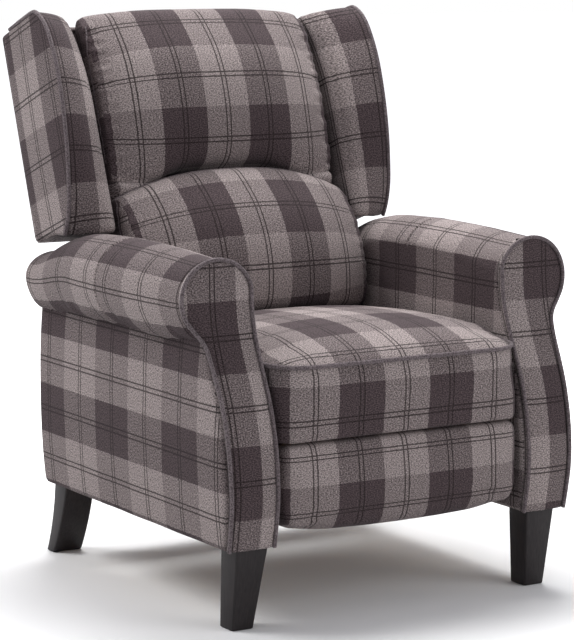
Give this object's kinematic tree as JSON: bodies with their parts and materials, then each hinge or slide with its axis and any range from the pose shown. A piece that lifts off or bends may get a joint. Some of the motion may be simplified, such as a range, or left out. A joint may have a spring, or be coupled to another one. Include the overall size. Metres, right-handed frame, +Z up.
{
  "type": "wingback recliner",
  "caption": "Push-back wing chair in tartan fabric with rolled arms, head and lumbar cushions, sabre rear legs and a footrest that folds out on steel links.",
  "frame": {"origin": "on the floor, below the middle of the chair's bounding box with the footrest shut", "axes": "+X to the right of a person who faces the chair, -Y out of its front, +Z up"},
  "size_m": [0.7888, 0.8494, 1.0058],
  "materials": {
    "tartan": "woven wool-look tartan check in greys, matt",
    "welt": "tartan piping, matt",
    "foam": "polyurethane foam and wadding",
    "leg": "hardwood, dark stain, satin lacquer",
    "frame_timber": "sawn pine and plywood, bare",
    "link_steel": "zinc-plated steel strip",
    "spring_steel": "drawn spring wire",
    "bolt_steel": "zinc-plated steel"
  },
  "bodies": {
    "base": {"arm_frame_left": "frame_timber", "arm_frame_right": "frame_timber", "arm_roll_left": "tartan", "arm_roll_right": "tartan", "arm_side_left": "tartan", "arm_side_right": "tartan", "arm_front_left": "tartan", "arm_front_right": "tartan", "arm_welt_left": "welt", "arm_welt_right": "welt", "leg_front_left": "leg", "leg_front_right": "leg", "leg_rear_left": "leg", "leg_rear_right": "leg", "mechanism_rail_left": "link_steel", "mechanism_rail_right": "link_steel", "front_rail": "frame_timber", "rear_rail": "frame_timber", "rear_apron": "tartan", "frame_bolts": "bolt_steel"},
    "front_swing": {"front_swing_links": "link_steel"},
    "rear_swing": {"rear_swing_links": "link_steel"},
    "seat": {"seat_side_plate_left": "link_steel", "seat_side_plate_right": "link_steel", "seat_frame": "frame_timber", "seat_springs": "spring_steel", "seat_cushion": "tartan", "seat_welt": "welt"},
    "cranks": {"footrest_crank_left": "link_steel", "footrest_crank_right": "link_steel"},
    "rear_links": {"footrest_rear_link_left": "link_steel", "footrest_rear_link_right": "link_steel", "torque_tube": "link_steel"},
    "long_links": {"footrest_long_link_left": "link_steel", "footrest_long_link_right": "link_steel"},
    "front_links": {"footrest_front_link_left": "link_steel", "footrest_front_link_right": "link_steel"},
    "footrest": {"footrest_bracket_left": "link_steel", "footrest_bracket_right": "link_steel", "footrest_board": "frame_timber", "footrest_pad": "tartan"},
    "back": {"back_bracket_left": "link_steel", "back_bracket_right": "link_steel", "back_stile_left": "frame_timber", "back_stile_right": "frame_timber", "back_top_rail": "frame_timber", "back_wing_rail": "frame_timber", "back_bottom_rail": "frame_timber", "back_springs": "spring_steel", "back_foam": "foam", "head_cushion": "tartan", "lumbar_cushion": "tartan", "back_panel": "tartan", "wing_left": "tartan", "wing_right": "tartan", "wing_frame_left": "frame_timber", "wing_frame_right": "frame_timber", "wing_welt_left": "welt", "wing_welt_right": "welt"}
  },
  "joints": [
    {"name": "footrest_open", "type": "hinge", "parent": "base", "child": "front_swing", "pos_m": [0, -0.03938, 0.17], "axis": [1, 0, 0], "range_deg": [0, 50]},
    {"name": "rear_swing_turn", "type": "hinge", "parent": "base", "child": "rear_swing", "pos_m": [0, 0.14062, 0.17], "axis": [1, 0, 0], "range_deg": [0, 50]},
    {"name": "seat_glide", "type": "hinge", "parent": "front_swing", "child": "seat", "pos_m": [0, 0.02084, 0.23688], "axis": [1, 0, 0], "range_deg": [-50, 0]},
    {"name": "crank_turn", "type": "hinge", "parent": "seat", "child": "cranks", "pos_m": [0, -0.26998, 0.2704], "axis": [-1, 0, 0], "range_deg": [0, 119.02]},
    {"name": "rear_link_turn", "type": "hinge", "parent": "seat", "child": "rear_links", "pos_m": [0, -0.30938, 0.2701], "axis": [-1, 0, 0], "range_deg": [0, 120.38]},
    {"name": "long_link_turn", "type": "hinge", "parent": "cranks", "child": "long_links", "pos_m": [0, -0.11108, 0.1647], "axis": [-1, 0, 0], "range_deg": [-111.83, 0]},
    {"name": "front_link_turn", "type": "hinge", "parent": "rear_links", "child": "front_links", "pos_m": [0, -0.17298, 0.1774], "axis": [-1, 0, 0], "range_deg": [-107.31, 0]},
    {"name": "footrest_turn", "type": "hinge", "parent": "long_links", "child": "footrest", "pos_m": [0, -0.27008, 0.2004], "axis": [-1, 0, 0], "range_deg": [0, 80.81]},
    {"name": "back_recline", "type": "hinge", "parent": "seat", "child": "back", "pos_m": [0, 0.17062, 0.3], "axis": [-1, 0, 0], "range_deg": [0, 28], "stiffness_Nm_per_rad": 60, "springref_deg": -34.38}
  ],
  "couplings": [
    {"joint": "rear_swing_turn", "follows": "footrest_open", "ratio": 1},
    {"joint": "seat_glide", "follows": "footrest_open", "ratio": -1},
    {"joint": "crank_turn", "follows": "footrest_open", "ratio": 2.3805},
    {"joint": "rear_link_turn", "follows": "footrest_open", "ratio": 2.4075},
    {"joint": "long_link_turn", "follows": "footrest_open", "ratio": -2.2367},
    {"joint": "front_link_turn", "follows": "footrest_open", "ratio": -2.1463},
    {"joint": "footrest_turn", "follows": "footrest_open", "ratio": 1.6162}
  ]
}
